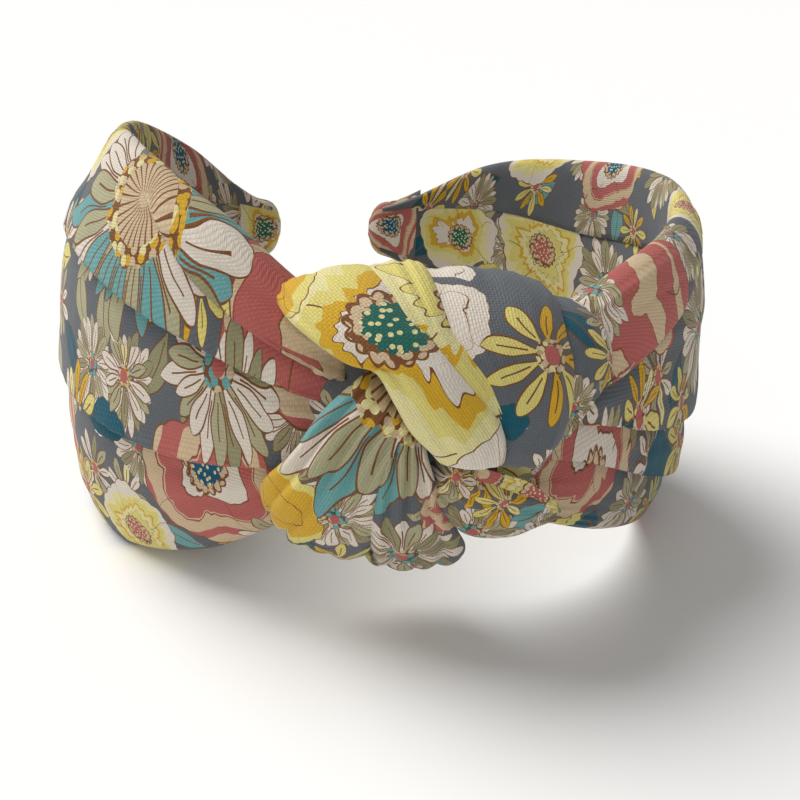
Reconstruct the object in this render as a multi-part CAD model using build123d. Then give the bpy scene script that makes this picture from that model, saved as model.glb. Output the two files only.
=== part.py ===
from build123d import *
import os
from math import cos, radians, sin

# Knotted headband, millimetres, +Z up.  It lies on its lower side edge, as it is put down on a
# table: the U of the band is in the XY plane, the knot faces -Y and the two tips face +Y.
# Angles run round the band from the front: 0 is the middle of the knot, negative is the left arm.

# Driving dimensions ---------------------------------------------------------------------------
HEAD_HALF_WIDTH = 67.0      # inside of the band, across the head
HEAD_HALF_DEPTH = 60.0      # inside of the band, front to back
LEFT_TIP_ANGLE = 159.0      # where the left arm ends
RIGHT_TIP_ANGLE = 173.0     # the knot sits a little off centre, so the right arm is longer
LEFT_THROAT_ANGLE = 14.0    # where the left sleeve is gathered into the knot
RIGHT_THROAT_ANGLE = 15.0

# Evenly spaced from the throat to the tip: how high the sleeve is, and how far its lower edge
# lies above the table
LEFT_HEIGHTS = [40.0, 73.0, 89.5, 88.5, 81.0, 54.0, 13.0]
LEFT_LIFTS = [24.0, 8.0, 0.0, 0.0, 6.0, 24.0, 46.5]
LEFT_LEANS = [0.0, 0.5, 3.0, 6.0, 4.5, 0.5, 0.0]    # how far the upper edge leans in over the head
RIGHT_HEIGHTS = [43.0, 64.0, 77.5, 82.5, 75.0, 50.0, 13.0]
RIGHT_LIFTS = [20.0, 10.0, 2.0, 0.0, 5.5, 25.0, 46.5]
SIDE_PUFF = 10.5            # how far the padded sleeve stands out from the head
TIP_PUFF = 4.6

LINING_THICKNESS = 0.9
CORE_INSET = 1.0            # from the head side of the lining to the plastic
CORE_THICKNESS = 1.6
CORE_SIDE_WIDTH = 46.0
CORE_CROWN_WIDTH = 34.0     # narrower at the front, inside the knot
CORE_TIP_WIDTH = 7.0
CLOTH_SHARE = 0.28          # share of the puff that the sleeve's pleated cloth takes up
LAYER_GAP = 0.2             # clearance between layers
LINING_MARGIN = 2.0         # the lining covers this much past each edge of the plastic

KNOT_HEIGHT = 40.0          # the gathered throat inside the knot
KNOT_PUFF = 8.5
STATIONS = 13               # sections along each arm
WADDING_SPAN = (0.12, 0.86)  # shares of an arm between which it is padded
THROAT_GAP = 0.4            # degrees between a sleeve's end and the throat inside the knot
TIP_WRAP_ANGLE = 8.0        # degrees of band that the cloth folded over a tip covers
TIP_END_ANGLE = 1.0
TIP_CLOTH = 0.7
CORE_BACK = CORE_INSET + CORE_THICKNESS
THROAT_HEIGHT_LEFT = LEFT_LIFTS[0] + LEFT_HEIGHTS[0] / 2
THROAT_HEIGHT_RIGHT = RIGHT_LIFTS[0] + RIGHT_HEIGHTS[0] / 2


# Shape of the band ----------------------------------------------------------------------------
def between(values, share):
    """Smooth value at a share 0..1 of the way through an evenly spaced list."""
    place = min(max(share, 0.0), 1.0) * (len(values) - 1)
    first = min(int(place), len(values) - 2)
    part = place - first
    before = values[max(first - 1, 0)]
    after = values[min(first + 2, len(values) - 1)]
    start, end = values[first], values[first + 1]
    bend = part * (1 - part)
    return start + (end - start) * part + 0.5 * bend * (
        (1 - part) * (2 * start - before - end) + part * (2 * end - start - after)
    )


def arm_share(angle):
    """0 at the throat and 1 at the tip of the arm that this angle lies on."""
    if angle < 0:
        return (-angle - LEFT_THROAT_ANGLE) / (LEFT_TIP_ANGLE - LEFT_THROAT_ANGLE)
    return (angle - RIGHT_THROAT_ANGLE) / (RIGHT_TIP_ANGLE - RIGHT_THROAT_ANGLE)


def sleeve_height(angle):
    heights = LEFT_HEIGHTS if angle < 0 else RIGHT_HEIGHTS
    return between(heights, arm_share(angle))


def mid_height(angle):
    """Height of the band's centreline above the table."""
    share = arm_share(angle)
    if share < 0:
        turn = (angle + LEFT_THROAT_ANGLE) / (LEFT_THROAT_ANGLE + RIGHT_THROAT_ANGLE)
        return THROAT_HEIGHT_LEFT + (THROAT_HEIGHT_RIGHT - THROAT_HEIGHT_LEFT) * turn
    lifts = LEFT_LIFTS if angle < 0 else RIGHT_LIFTS
    return max(between(lifts, share), 0.0) + sleeve_height(angle) / 2


def lean(angle):
    return between(LEFT_LEANS, arm_share(angle)) if angle < 0 else 0.0


def puff(angle):
    taper = max(0.0, (arm_share(angle) - 0.35) / 0.65)
    return SIDE_PUFF + (TIP_PUFF - SIDE_PUFF) * taper


def core_width(angle):
    share = arm_share(angle)
    if share < 0.35:
        spread = 0.5 - 0.5 * cos(radians(180 * max(share, 0.0) / 0.35))
        return CORE_CROWN_WIDTH + (CORE_SIDE_WIDTH - CORE_CROWN_WIDTH) * spread
    taper = (share - 0.35) / 0.65
    return CORE_SIDE_WIDTH + (CORE_TIP_WIDTH - CORE_SIDE_WIDTH) * taper ** 1.5


def station(angle):
    """Plane across the band: X away from the head, Y up, origin on the head side."""
    turn = radians(angle)
    foot = Vector(HEAD_HALF_WIDTH * sin(turn), -HEAD_HALF_DEPTH * cos(turn), mid_height(angle))
    away = Vector(sin(turn) / HEAD_HALF_WIDTH, -cos(turn) / HEAD_HALF_DEPTH, 0).normalized()
    along = Vector(away.Y, -away.X, 0)
    return Plane(origin=foot, x_dir=away, z_dir=along)


def angles(start, end, count):
    return [start + (end - start) * step / (count - 1) for step in range(count)]


def run(section, start, end, count=STATIONS):
    """Solid through one section(angle) outline at each of count stations."""
    return loft([station(angle) * section(angle) for angle in angles(start, end, count)])


# Sections -------------------------------------------------------------------------------------
def strip_section(inner, outer, half_height):
    return Pos((inner + outer) / 2, 0) * Rectangle(outer - inner, 2 * half_height)


def lining_section(angle):
    return strip_section(0, LINING_THICKNESS, core_width(angle) / 2 + LINING_MARGIN)


def core_section(angle):
    return strip_section(CORE_INSET, CORE_BACK, core_width(angle) / 2)


def wadding_section(angle):
    """A pad that is flat on the plastic, crowned outside and fills the sleeve's rolled edges."""
    cloth = CLOTH_SHARE * puff(angle)
    depth = puff(angle) - cloth - 2 * LAYER_GAP
    back = CORE_BACK + LAYER_GAP
    edge = core_width(angle) / 2
    half = sleeve_height(angle) / 2 - cloth - 4 * LAYER_GAP
    shoulder = 0.42 * puff(angle)
    top = (shoulder - 0.6 * lean(angle), half - 0.5 * lean(angle))
    crown = Spline([(back, edge), top, (depth, 0), (shoulder, -half), (back, -edge)])
    return make_face([crown, Line((back, -edge), (back, edge))])


def sleeve_section(angle):
    """Cloth that runs from the lining's edge, over the padding, to its other edge."""
    half = sleeve_height(angle) / 2
    edge = core_width(angle) / 2 + LINING_MARGIN + 3 * LAYER_GAP
    depth = puff(angle)
    cloth = CLOTH_SHARE * depth
    lower_shoulder = 0.36 * depth
    upper_shoulder = lower_shoulder - lean(angle)
    outside = Spline([(0, edge), (upper_shoulder, half), (depth, 0), (lower_shoulder, -half),
                      (0, -edge)])
    inside = Spline([(cloth, -edge), (lower_shoulder, cloth - half), (depth - cloth, 0),
                     (upper_shoulder, half - cloth), (cloth, edge)])
    upper = Line((cloth, edge), (0, edge))
    lower = Line((0, -edge), (cloth, -edge))
    return make_face([outside, lower, inside, upper])


def throat_section(angle):
    """The gathered cloth inside the knot, flat on the plastic and round outside."""
    back = CORE_BACK + LAYER_GAP
    half = KNOT_HEIGHT / 2
    crown = Spline([(back, half), (KNOT_PUFF, 0.62 * half), (KNOT_PUFF, -0.62 * half), (back, -half)])
    return make_face([crown, Line((back, -half), (back, half))])


def tip_section(angle, grow):
    """Outline of everything that the band holds at this angle, grown outward."""
    half = sleeve_height(angle) / 2 + grow
    depth = puff(angle) + grow
    edge = core_width(angle) / 2 + LINING_MARGIN + grow
    outside = Spline([(-grow, edge), (0.36 * depth, half), (depth, 0), (0.36 * depth, -half),
                      (-grow, -edge)])
    return make_face([outside, Line((-grow, -edge), (-grow, edge))])


def tip_wrap(tip, side, covered):
    """Cloth folded over one end of the band, open towards the band."""
    start = tip - side * TIP_WRAP_ANGLE
    end = tip + side * TIP_END_ANGLE
    wrap = run(lambda angle: tip_section(angle, LAYER_GAP + TIP_CLOTH), start, end, 4)
    wrap = wrap - run(lambda angle: tip_section(angle, LAYER_GAP), start - side, tip + side * 0.2, 4)
    for layer in covered:
        wrap = wrap - layer
    return largest(wrap)


def largest(shape):
    return max(shape.solids(), key=lambda solid: solid.volume)


# Turns of the knot ----------------------------------------------------------------------------
# Each turn is a flattened strap.  Its centre line is a few points, front of the head first, and
# `widths` gives how broad it is at evenly spaced places along that line.
TURNS = {
    "knot_front_wrap": {
        "line": [(-27, -66, 65), (-19, -74, 64), (-8, -79, 57), (3, -77, 45), (8, -71, 37)],
        "widths": [21, 25, 24, 20, 18, 13],
        "thickness": 11,
    },
    "knot_side_wrap": {
        "line": [(6, -64, 66), (13, -72, 64), (20, -75, 55), (17, -74, 43), (11, -70, 34)],
        "widths": [20, 25, 26, 24, 20, 12],
        "thickness": 10,
    },
    "knot_rear_wrap": {
        "line": [(25, -59, 66), (30, -64, 62), (33, -66, 54), (29, -68, 46), (24, -68, 37)],
        "widths": [14, 17, 17, 15, 11],
        "thickness": 9,
    },
    "knot_lower_fan": {
        "line": [(-7, -74, 53), (-15, -75, 44), (-22, -72, 35), (-27, -67, 28)],
        "widths": [12, 22, 31, 34],
        "thickness": 10,
    },
    "knot_lower_roll": {
        "line": [(-2, -75, 46), (-3, -75, 36), (-4, -72, 26), (-5, -65, 18)],
        "widths": [10, 18, 24, 24],
        "thickness": 10,
    },
    "knot_lower_tuck": {
        "line": [(27, -64, 31), (18, -71, 30), (9, -73, 28), (1, -69, 22)],
        "widths": [12, 18, 18, 14],
        "thickness": 10,
    },
}


def turn_solid(line, widths, thickness):
    """A flattened strap along the line, broad side to the front."""
    path = Spline([Vector(point) for point in line])
    front = Vector(0, -1, 0)
    faces = []
    for index, width in enumerate(widths):
        share = index / (len(widths) - 1)
        along = (path % share).normalized()
        out = (front - along * along.dot(front)).normalized()
        plane = Plane(origin=path @ share, x_dir=out, z_dir=along)
        faces.append(plane * Ellipse(thickness / 2, width / 2))
    return loft(faces)


def head_side():
    """All the space from the middle of the head out to the back of the plastic."""
    reach = CORE_BACK + LAYER_GAP
    outline = Ellipse(HEAD_HALF_WIDTH + reach, HEAD_HALF_DEPTH + reach)
    return extrude(outline, 2 * max(LEFT_HEIGHTS))


def knot_turns(throat, sleeves):
    """The turns, front one first, each cut back where an earlier piece lies."""
    taken = [head_side(), throat] + sleeves
    turns = {}
    for name, turn in TURNS.items():
        solid = turn_solid(turn["line"], turn["widths"], turn["thickness"])
        for other in taken:
            solid = solid - other
        turns[name] = largest(solid)
        taken.append(turns[name])
    return turns


# Pieces ---------------------------------------------------------------------------------------
def build():
    left_tip, right_tip = -LEFT_TIP_ANGLE, RIGHT_TIP_ANGLE
    left_throat, right_throat = -LEFT_THROAT_ANGLE, RIGHT_THROAT_ANGLE
    left_pad = [left_throat + (left_tip - left_throat) * share for share in WADDING_SPAN]
    right_pad = [right_throat + (right_tip - right_throat) * share for share in WADDING_SPAN]

    core = run(core_section, left_tip, right_tip, 2 * STATIONS)
    lining = run(lining_section, left_tip, right_tip, 2 * STATIONS)
    left_sleeve = largest(run(sleeve_section, left_throat, left_tip) - lining - core)
    right_sleeve = largest(run(sleeve_section, right_throat, right_tip) - lining - core)
    left_wadding = largest(run(wadding_section, *left_pad) - left_sleeve)
    right_wadding = largest(run(wadding_section, *right_pad) - right_sleeve)
    throat = run(throat_section, left_throat + THROAT_GAP, right_throat - THROAT_GAP, 6)

    pieces = {
        "core_band": core,
        "inner_lining": lining,
        "left_wadding": left_wadding,
        "right_wadding": right_wadding,
        "left_sleeve": left_sleeve,
        "right_sleeve": right_sleeve,
        "left_tip_wrap": tip_wrap(left_tip, -1, [core, lining, left_sleeve]),
        "right_tip_wrap": tip_wrap(right_tip, 1, [core, lining, right_sleeve]),
        "knot_throat": throat,
    }
    pieces.update(knot_turns(throat, [left_sleeve, right_sleeve]))
    return pieces


def main():
    """Write each piece, with the origin under the middle of the whole headband."""
    pieces = build()
    box = Compound(list(pieces.values())).bounding_box()
    home = Pos(-box.center().X, -box.center().Y, -box.min.Z)
    print("box", box.size, "moved", home.position)
    os.makedirs("parts", exist_ok=True)
    for node, piece in pieces.items():
        export_step(home * piece, f"parts/{node}.step")


main()
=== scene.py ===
# Knotted headband: the visible cloth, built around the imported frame.
# Shapes are worked out in millimetres in the band's own layout and moved home to the frame.
import math
import bpy
import numpy as np
from mathutils import Matrix, Vector


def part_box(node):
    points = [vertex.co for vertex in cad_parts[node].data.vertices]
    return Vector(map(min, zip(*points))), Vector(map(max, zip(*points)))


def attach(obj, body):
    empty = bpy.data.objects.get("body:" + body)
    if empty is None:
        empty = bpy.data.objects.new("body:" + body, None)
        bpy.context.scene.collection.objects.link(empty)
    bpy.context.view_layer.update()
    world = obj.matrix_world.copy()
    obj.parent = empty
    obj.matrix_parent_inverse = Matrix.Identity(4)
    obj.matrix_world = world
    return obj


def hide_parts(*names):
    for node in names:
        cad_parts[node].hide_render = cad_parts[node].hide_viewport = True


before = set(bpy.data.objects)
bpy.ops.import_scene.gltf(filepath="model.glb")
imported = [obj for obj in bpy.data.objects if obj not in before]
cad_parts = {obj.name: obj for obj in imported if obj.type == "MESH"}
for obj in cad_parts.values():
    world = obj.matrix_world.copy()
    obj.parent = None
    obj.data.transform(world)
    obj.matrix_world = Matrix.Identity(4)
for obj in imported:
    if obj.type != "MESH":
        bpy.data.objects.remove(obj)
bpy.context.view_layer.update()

MM = 0.001

# ---- The band's layout, millimetres: the same driving dimensions as the frame ----
LINING_THICKNESS = 0.9
lining_low, lining_high = (Vector(corner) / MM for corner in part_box("inner_lining"))
HEAD_HALF_WIDTH = (lining_high.x - lining_low.x) / 2 - LINING_THICKNESS
HEAD_HALF_DEPTH = 60.0
HOME = np.array([
    (lining_low.x + lining_high.x) / 2,
    lining_low.y + HEAD_HALF_DEPTH + LINING_THICKNESS,
    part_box("left_sleeve")[0][2] / MM,
])
TIP_SHARE = 0.35  # share of an arm after which it thins towards the tip
SIDE_PUFF, TIP_PUFF = 10.5, 4.6
CORE_CROWN_WIDTH, CORE_SIDE_WIDTH, CORE_TIP_WIDTH = 34.0, 46.0, 7.0
LINING_MARGIN = 2.0

# Sleeve heights, how far the lower edge lies above the table and how far the upper edge leans in
# over the head, evenly spaced, throat to tip.
# A pleat is a fold line at a share of the half height; its depth fades along the arm.
ARMS = {
    "left": {
        "side": -1,
        "throat": 14.0,
        "tip": 159.0,
        "heights": [40.0, 73.0, 89.5, 88.5, 81.0, 54.0, 13.0],
        "lifts": [24.0, 8.0, 0.0, 0.0, 6.0, 24.0, 46.5],
        "leans": [0.0, 0.5, 3.0, 6.0, 4.5, 0.5, 0.0],
        "pleats": [
            {"place": [0.55, 0.66, 0.95, 1.05], "depth": [2.2, 2.2, 0.8, 0.0], "reach": 0.45},
            {"place": [0.27, 0.40, 0.52, 0.58, 0.60], "depth": [2.6, 3.2, 2.6, 1.2, 0.2], "reach": 0.8},
            {"place": [-0.36, -0.29, -0.17, -0.12, -0.1], "depth": [2.4, 3.2, 2.6, 1.2, 0.2], "reach": 0.8},
        ],
        "seed": 3,
    },
    "right": {
        "side": 1,
        "throat": 15.0,
        "tip": 173.0,
        "heights": [43.0, 64.0, 77.5, 82.5, 75.0, 50.0, 13.0],
        "lifts": [20.0, 10.0, 2.0, 0.0, 5.5, 25.0, 46.5],
        "leans": [0.0, 0.0],
        "pleats": [
            {"place": [0.36, 0.56, 0.90, 1.05], "depth": [2.6, 3.2, 2.0, 0.2], "reach": 0.5},
            {"place": [0.20, -0.10, -0.15, -0.12, -0.1], "depth": [2.4, 3.0, 2.2, 1.0, 0.2], "reach": 0.7},
            {"place": [-0.15, -0.50, -0.60, -0.50], "depth": [2.4, 2.6, 1.6, 0.2], "reach": 0.6},
        ],
        "seed": 8,
    },
}

# The knot is laid over an oval dome on the front of the band.
DOME_CENTRE = np.array([1.0, -60.0, 45.0])
DOME_RADII = np.array([36.0, 22.0, 32.0])
DOME_TOP = 26.0  # the dome is lower above its centre than below it
DOME_POWER = 2.8
DOME_BACK_DEPTH = 3.5


# ---- Small maths ----
def smooth_step(low, high, value):
    share = np.clip((value - low) / (high - low), 0.0, 1.0)
    return share * share * (3 - 2 * share)


def between(values, share):
    """Smooth value at a share 0..1 of the way through an evenly spaced list."""
    values = np.asarray(values, float)
    place = np.clip(share, 0.0, 1.0) * (len(values) - 1)
    first = np.minimum(place.astype(int), len(values) - 2)
    part = place - first
    before = values[np.maximum(first - 1, 0)]
    start, end = values[first], values[first + 1]
    after = values[np.minimum(first + 2, len(values) - 1)]
    bend = part * (1 - part)
    return start + (end - start) * part + 0.5 * bend * (
        (1 - part) * (2 * start - before - end) + part * (2 * end - start - after)
    )


def smooth_line(points, count):
    """Points evenly spaced along a smooth line through the given points."""
    points = np.asarray(points, float)
    dense = np.linspace(0, 1, 40 * len(points))
    line = np.stack([between(points[:, axis], dense) for axis in range(points.shape[1])], -1)
    reach = walked(line)[:, 0]
    even = np.linspace(0, reach[-1], count)
    return np.stack([np.interp(even, reach, line[:, axis]) for axis in range(line.shape[1])], -1)


def soft_noise(across, along, seed):
    """Smooth seeded noise, -1..1, of two arrays of coordinates."""
    table = np.random.default_rng(seed).uniform(-1, 1, (64, 64))
    column, row = np.floor(across).astype(int), np.floor(along).astype(int)
    right, up = across - column, along - row
    right, up = right * right * (3 - 2 * right), up * up * (3 - 2 * up)
    corner = [[table[(column + i) % 64, (row + j) % 64] for j in (0, 1)] for i in (0, 1)]
    low = corner[0][0] * (1 - right) + corner[1][0] * right
    high = corner[0][1] * (1 - right) + corner[1][1] * right
    return low * (1 - up) + high * up


def unit(vectors):
    return vectors / np.linalg.norm(vectors, axis=-1, keepdims=True)


def run_length(points, axis):
    """Distance walked along one axis of a grid of points, starting at 0."""
    steps = np.linalg.norm(np.diff(points, axis=axis), axis=-1)
    zero = np.zeros_like(np.take(steps, [0], axis=axis))
    return np.concatenate([zero, np.cumsum(steps, axis=axis)], axis=axis)


def walked(line):
    """Distance walked along a line of points, as a column."""
    return run_length(line[:, None, :], 0)


def full_turn(count):
    return np.linspace(0, 2 * math.pi, count, endpoint=False)


def lattice(along, across):
    """Two grids: the first changes from row to row, the second from column to column."""
    return np.meshgrid(along, across, indexing="ij")


# ---- Band geometry ----
def arm_angle(arm, share):
    return arm["side"] * (arm["throat"] + (arm["tip"] - arm["throat"]) * share)


def round_the_head(angle, out, height):
    """Points at an angle round the band, a distance out from the head, and a height."""
    turn = np.radians(angle)
    level = np.zeros_like(turn)
    foot = np.stack([HEAD_HALF_WIDTH * np.sin(turn), -HEAD_HALF_DEPTH * np.cos(turn), level], -1)
    away = unit(np.stack([np.sin(turn) / HEAD_HALF_WIDTH, -np.cos(turn) / HEAD_HALF_DEPTH, level], -1))
    points = foot + away * out[..., None]
    points[..., 2] = height
    return points


def arm_mid(arm, share):
    """Height of an arm's middle line above the table."""
    return np.maximum(between(arm["lifts"], share), 0) + between(arm["heights"], share) / 2


def tip_taper(share):
    return np.maximum(0.0, (share - TIP_SHARE) / (1 - TIP_SHARE))


def puff(share):
    """How far the padded sleeve stands out from the head."""
    return SIDE_PUFF + (TIP_PUFF - SIDE_PUFF) * tip_taper(share)


def core_width(share):
    """Height of the plastic band inside the sleeve."""
    spread = 0.5 - 0.5 * np.cos(np.pi * np.clip(share / TIP_SHARE, 0, 1))
    front = CORE_CROWN_WIDTH + (CORE_SIDE_WIDTH - CORE_CROWN_WIDTH) * spread
    return front + (CORE_TIP_WIDTH - CORE_SIDE_WIDTH) * tip_taper(share) ** 1.5


# ---- Mesh helpers ----
CLOTH_JUMP = 12.0  # a face whose cloth coordinates span more than this lies on a seam


def corner_cloth(mesh, cloth_points):
    """Cloth coordinates of every face corner; a face on a seam keeps those of its first side."""
    vertex = np.empty(len(mesh.loops), dtype=np.int32)
    mesh.loops.foreach_get("vertex_index", vertex)
    corners = np.array(cloth_points, dtype=np.float32)[vertex]
    start, total = (np.empty(len(mesh.polygons), dtype=np.int32) for _ in range(2))
    mesh.polygons.foreach_get("loop_start", start)
    mesh.polygons.foreach_get("loop_total", total)
    start = start[total == 4]
    seam = start[np.linalg.norm(corners[start + 1] - corners[start], axis=1) > CLOTH_JUMP]
    corners[seam + 1], corners[seam + 2] = corners[seam], corners[seam + 3]
    return corners


def new_object(name, data):
    """An object in the scene, of a mesh, a light or a camera."""
    thing = bpy.data.objects.new(name, data)
    bpy.context.scene.collection.objects.link(thing)
    return thing


def grid_mesh(name, sheets):
    """One object from grids of points: each sheet is (points, cloth, closed across)."""
    vertices, faces, cloth_points = [], [], []
    for points, cloth, closed in sheets:
        rows, columns = points.shape[:2]
        start = len(vertices)
        vertices.extend(((points + HOME) * MM).reshape(-1, 3).tolist())
        cloth_points.extend(cloth.reshape(-1, 2).tolist())
        last = columns if closed else columns - 1
        for row in range(rows - 1):
            for column in range(last):
                beside = (column + 1) % columns
                a, b = start + row * columns + column, start + row * columns + beside
                faces.append((a, b, b + columns, a + columns))
        if closed:
            faces.append(tuple(start + column for column in reversed(range(columns))))
            faces.append(tuple(start + (rows - 1) * columns + column for column in range(columns)))
    mesh = bpy.data.meshes.new(name)
    mesh.from_pydata(vertices, [], faces)
    layer = mesh.uv_layers.new(name="cloth")
    layer.data.foreach_set("uv", corner_cloth(mesh, cloth_points).ravel())
    mesh.polygons.foreach_set("use_smooth", [True] * len(mesh.polygons))
    mesh.update()
    return new_object(name, mesh)


def thicken(piece, thickness):
    """Give a single layer of cloth its thickness, inward."""
    solid = piece.modifiers.new("thickness", "SOLIDIFY")
    solid.thickness = thickness * MM
    solid.offset = -1
    bpy.context.view_layer.objects.active = piece
    bpy.ops.object.modifier_apply(modifier=solid.name)


# ---- Sleeves ----
SLEEVE_GRID = (150, 260)  # points along and across
OUTER_SHARE = 0.80  # share of a sleeve's width that lies on the outside of the band
SHOULDER_SHARE = 0.12  # where the highest point of the edge is, as a share of the puff
ROLL_TUCK = 2.0  # how far the rolled edge bulges to the head side
SLEEVE_CLOTH = 0.7
TABLE_CLEARANCE = 0.1  # lowest that the cloth reaches above the table
PLEAT_ABOVE, PLEAT_BELOW = 8.0, 5.0  # how fast a pleat dies away above and below its fold
PLEAT_EDGE, PLEAT_OVERHANG = 0.5, 2.2  # how sharp the fold is, and the height that hangs over
TUCK_REACH = 16.0  # height over which the hidden cloth is spread
TUCKED_CLOTH = 1.2  # cloth hidden on each side of a pleat's fold, per depth of the pleat
GATHERS, WRINKLES, RIPPLES = 0.9, 0.55, 0.22  # heights of the creases, largest near the knot


def section_points(arm, share, across):
    """Distance from the head and height of a smooth padded sleeve, before its pleats."""
    half = between(arm["heights"], share) / 2
    depth = puff(share)
    shoulder = SHOULDER_SHARE * depth
    edge = core_width(share) / 2 + LINING_MARGIN
    side = np.sign(across)
    reach = np.abs(across)

    turn = np.minimum(reach / OUTER_SHARE, 1) * math.pi / 2
    outer_out = shoulder + (depth - shoulder) * np.cos(turn) ** 0.9
    outer_up = half * np.sin(turn)

    roll = np.clip((reach - OUTER_SHARE) / (1 - OUTER_SHARE), 0, 1)
    bulge = -ROLL_TUCK * np.minimum(1.0, half / 20)
    weights = [(1 - roll) ** 3, 3 * roll * (1 - roll) ** 2, 3 * roll ** 2 * (1 - roll), roll ** 3]
    roll_out = weights[0] * shoulder + (0.6 * weights[1] + weights[2]) * bulge + weights[3] * 0.3
    roll_up = (weights[0] + weights[1]) * half + weights[2] * (0.75 * half + 0.25 * edge)
    roll_up = roll_up + weights[3] * (edge - 0.6)

    outside = reach <= OUTER_SHARE
    out, up = np.where(outside, outer_out, roll_out), side * np.where(outside, outer_up, roll_up)
    return out - between(arm["leans"], share) * smooth_step(0.45, 1.0, up / half), up


def pleat_fold(arm, share, out, up):
    """Fold the section: above each line the cloth stands proud and overhangs the cloth below."""
    half = between(arm["heights"], share) / 2
    facing = smooth_step(0.3, 0.6, out / puff(share))
    lifted, moved, hidden = np.zeros_like(up), np.zeros_like(up), np.zeros_like(up)
    for pleat in arm["pleats"]:
        line = between(pleat["place"], share / pleat["reach"]) * half
        depth = between(pleat["depth"], share / pleat["reach"]) * facing
        gap = up - line
        fade = np.where(gap > 0, 0.7 * np.exp(-gap / PLEAT_ABOVE), np.exp(gap / PLEAT_BELOW))
        lifted += depth * np.tanh(gap / PLEAT_EDGE) * fade
        moved -= 0.75 * depth * np.tanh(gap / PLEAT_EDGE) * np.exp(-(gap / PLEAT_OVERHANG) ** 2)
        hidden += TUCKED_CLOTH * depth * np.tanh(gap / 0.4) * np.exp(-np.abs(gap) / TUCK_REACH)
    return lifted, moved, hidden


def sleeve_points(arm, rows, columns):
    share, across = lattice(np.linspace(0, 1, rows), np.linspace(-1, 1, columns))
    out, up = section_points(arm, share, across)
    smooth = np.stack([out, up], -1)
    cloth_across = run_length(smooth, 1)
    cloth_across -= cloth_across[:, columns // 2][:, None]

    lifted, moved, hidden = pleat_fold(arm, share, out, up)
    gathers = soft_noise(across * 26, share * 5, arm["seed"]) * np.exp(-share * 5.5)
    wrinkles = soft_noise(across * 13, share * 9, arm["seed"] + 1) * np.exp(-share * 2.0)
    ripples = soft_noise(across * 7, share * 14, arm["seed"] + 2)
    facing = smooth_step(0.0, 0.5, out / puff(share))
    out = out + lifted + facing * (GATHERS * gathers + WRINKLES * wrinkles)
    out = out + RIPPLES * ripples * puff(share) / SIDE_PUFF
    up = up + moved

    height = np.maximum(arm_mid(arm, share) + up, TABLE_CLEARANCE)
    points = round_the_head(arm_angle(arm, share), out, height)
    cloth_along = walked(points[:, columns // 2]) + hidden * 0.6
    return points, np.stack([cloth_along, cloth_across + hidden], -1)


def make_sleeve(name, arm):
    points, cloth = sleeve_points(arm, *SLEEVE_GRID)
    if arm["side"] > 0:  # keeps the faces turned away from the head
        points, cloth = points[:, ::-1], cloth[:, ::-1]
    piece = grid_mesh(name, [(points, cloth, False)])
    thicken(piece, SLEEVE_CLOTH)
    return piece


# ---- Wadding ----
WADDING_BACK = 3.0  # the pads lie against the plastic, this far from the head
WADDING_INSET = 4.8  # from a sleeve's outside to its pad
WADDING_SPAN = (0.13, 0.85)  # shares of an arm at which a pad starts and ends
WADDING_HALF = 0.43  # a pad's half height, per height of its sleeve


def make_wadding(name, arm):
    """A soft crowned pad: flat against the plastic, lumpy outside."""
    rows, columns = 110, 72
    share, around = lattice(np.linspace(*WADDING_SPAN, rows), full_turn(columns))
    ends = np.sqrt(np.clip(1 - np.abs(np.linspace(-1, 1, rows))[:, None] ** 8, 0.01, 1))
    tilt = between(arm["leans"], share)
    half = (WADDING_HALF * between(arm["heights"], share) - 1.6 * tilt) * (0.4 + 0.6 * ends)
    lumps = soft_noise(around * 3, share * 16, arm["seed"] + 7) * 0.35
    crown = np.maximum(puff(share) - WADDING_INSET - WADDING_BACK, 0.6) * ends
    outer = np.maximum(np.cos(around), 0) ** 0.8 * (crown + lumps * ends)
    out = WADDING_BACK + outer - 0.15 * np.maximum(-np.cos(around), 0)
    points = round_the_head(arm_angle(arm, share), out, arm_mid(arm, share) + half * np.sin(around))
    cloth = np.stack([share * 190, around * 12], -1)
    return grid_mesh(name, [(points, cloth, True)])


# ---- Knot ----
FRONT, BACK = -1, 1


def front(*places):
    """Places (across, height) on the dome, in front of the band."""
    return [(across, height, FRONT) for across, height in places]


def behind(*places):
    return [(across, height, BACK) for across, height in places]


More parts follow.
